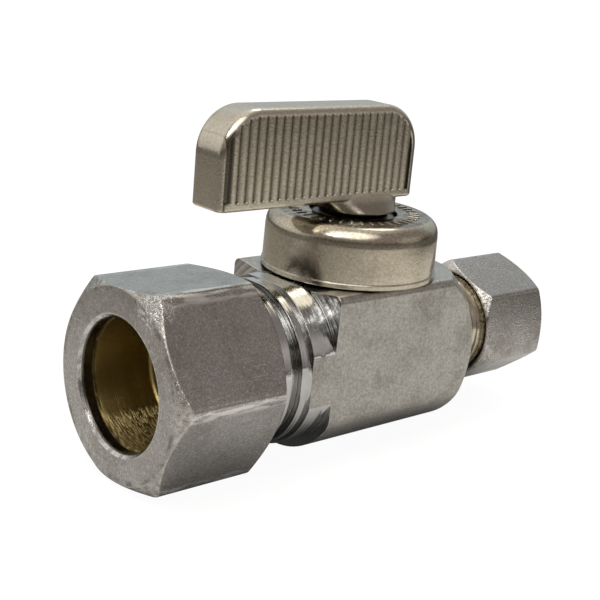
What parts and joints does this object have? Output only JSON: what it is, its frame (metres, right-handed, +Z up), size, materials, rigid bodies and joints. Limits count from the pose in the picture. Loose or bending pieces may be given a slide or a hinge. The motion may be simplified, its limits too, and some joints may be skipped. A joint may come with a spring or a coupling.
{
  "type": "mini ball valve",
  "caption": "Straight quarter-turn ball valve with a ribbed lever on a round cap and a hexagon compression nut at each end, which joins a wider tube to a narrower one.",
  "frame": {"origin": "centre of the body's inlet end face, on the flow axis", "axes": "+X along the flow towards the outlet, +Z up along the stem towards the handle"},
  "size_m": [0.0689, 0.027, 0.0446],
  "materials": {
    "chrome_plate": "satin chrome plating on forged brass, lightly scratched",
    "nickel_plate": "warm satin nickel plating",
    "plain_brass": "turned, unplated",
    "ptfe": "white, matte",
    "black_rubber": "matte"
  },
  "bodies": {
    "valve_body": {"body": "chrome_plate", "cap": "nickel_plate", "inlet_seat": "ptfe", "outlet_seat": "ptfe", "seat_retainer": "plain_brass", "retainer_o_ring": "black_rubber", "stem_thrust_washer": "ptfe"},
    "handle_and_ball": {"handle": "nickel_plate", "stem": "plain_brass", "stem_lower_o_ring": "black_rubber", "stem_upper_o_ring": "black_rubber", "ball": "chrome_plate"},
    "inlet_sleeve": {"inlet_ferrule": "plain_brass"},
    "inlet_nut": {"inlet_nut": "chrome_plate"},
    "outlet_sleeve": {"outlet_ferrule": "plain_brass"},
    "outlet_nut": {"outlet_nut": "chrome_plate"}
  },
  "joints": [
    {"name": "handle_turn", "type": "hinge", "parent": "valve_body", "child": "handle_and_ball", "pos_m": [0.027, 0, 0], "axis": [0, 0, 1], "range_deg": [-90, 0]},
    {"name": "inlet_sleeve_slide", "type": "slide", "parent": "valve_body", "child": "inlet_sleeve", "axis": [-1, 0, 0], "range_m": [0, 0.0071]},
    {"name": "inlet_nut_turn", "type": "hinge", "parent": "inlet_sleeve", "child": "inlet_nut", "pos_m": [0, 0, 0], "axis": [-1, 0, 0], "range_deg": [0, 1800]},
    {"name": "outlet_sleeve_slide", "type": "slide", "parent": "valve_body", "child": "outlet_sleeve", "axis": [1, 0, 0], "range_m": [0, 0.0054]},
    {"name": "outlet_nut_turn", "type": "hinge", "parent": "outlet_sleeve", "child": "outlet_nut", "pos_m": [0.054, 0, 0], "axis": [1, 0, 0], "range_deg": [0, 1800]}
  ],
  "couplings": [
    {"joint": "inlet_sleeve_slide", "follows": "inlet_nut_turn", "m_per_rad": 0.00022458},
    {"joint": "outlet_sleeve_slide", "follows": "outlet_nut_turn", "m_per_rad": 0.00016844}
  ]
}
